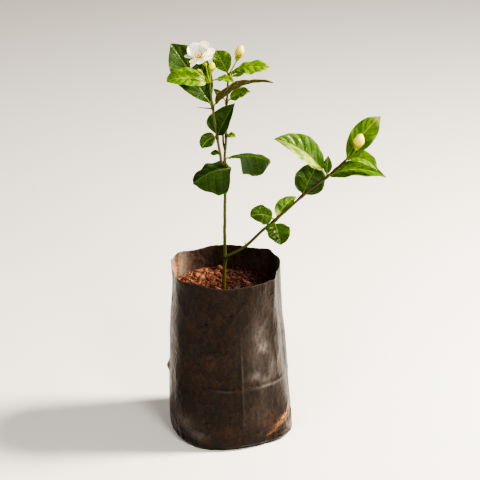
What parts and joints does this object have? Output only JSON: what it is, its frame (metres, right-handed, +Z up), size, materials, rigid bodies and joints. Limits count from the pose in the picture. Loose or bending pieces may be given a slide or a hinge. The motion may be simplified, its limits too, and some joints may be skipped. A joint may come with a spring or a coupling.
{
  "type": "jasmine in nursery bag",
  "caption": "Young double jasmine with an open white flower, buds and a leafy side branch, growing in soil in an open black polythene nursery bag.",
  "frame": {"origin": "middle of the bag's flat bottom, on the surface it stands on", "axes": "+Z up along the stem; -Y towards the side that the open bloom faces; +X towards the long side branch"},
  "size_m": [0.1864, 0.1083, 0.3543],
  "materials": {
    "black_film": "thin black polythene, dull, dusted with red-brown soil",
    "red_soil": "loose red-brown crumbs and clods",
    "leaf_green": "glossy green leaves on olive stems",
    "petal_white": "soft waxy white petals",
    "bud_ivory": "soft waxy ivory bud",
    "young_bud_yellow": "soft pale yellow young bud"
  },
  "bodies": {
    "root": {"nursery_bag": "black_film", "soil": "red_soil", "main_leafy_stem": "leaf_green", "left_leafy_shoot": "leaf_green", "right_leafy_shoot": "leaf_green", "side_leafy_branch": "leaf_green", "open_bloom": "petal_white", "young_bud": "young_bud_yellow", "small_bud": "young_bud_yellow", "upper_bud": "bud_ivory", "side_bud": "bud_ivory"}
  },
  "joints": []
}
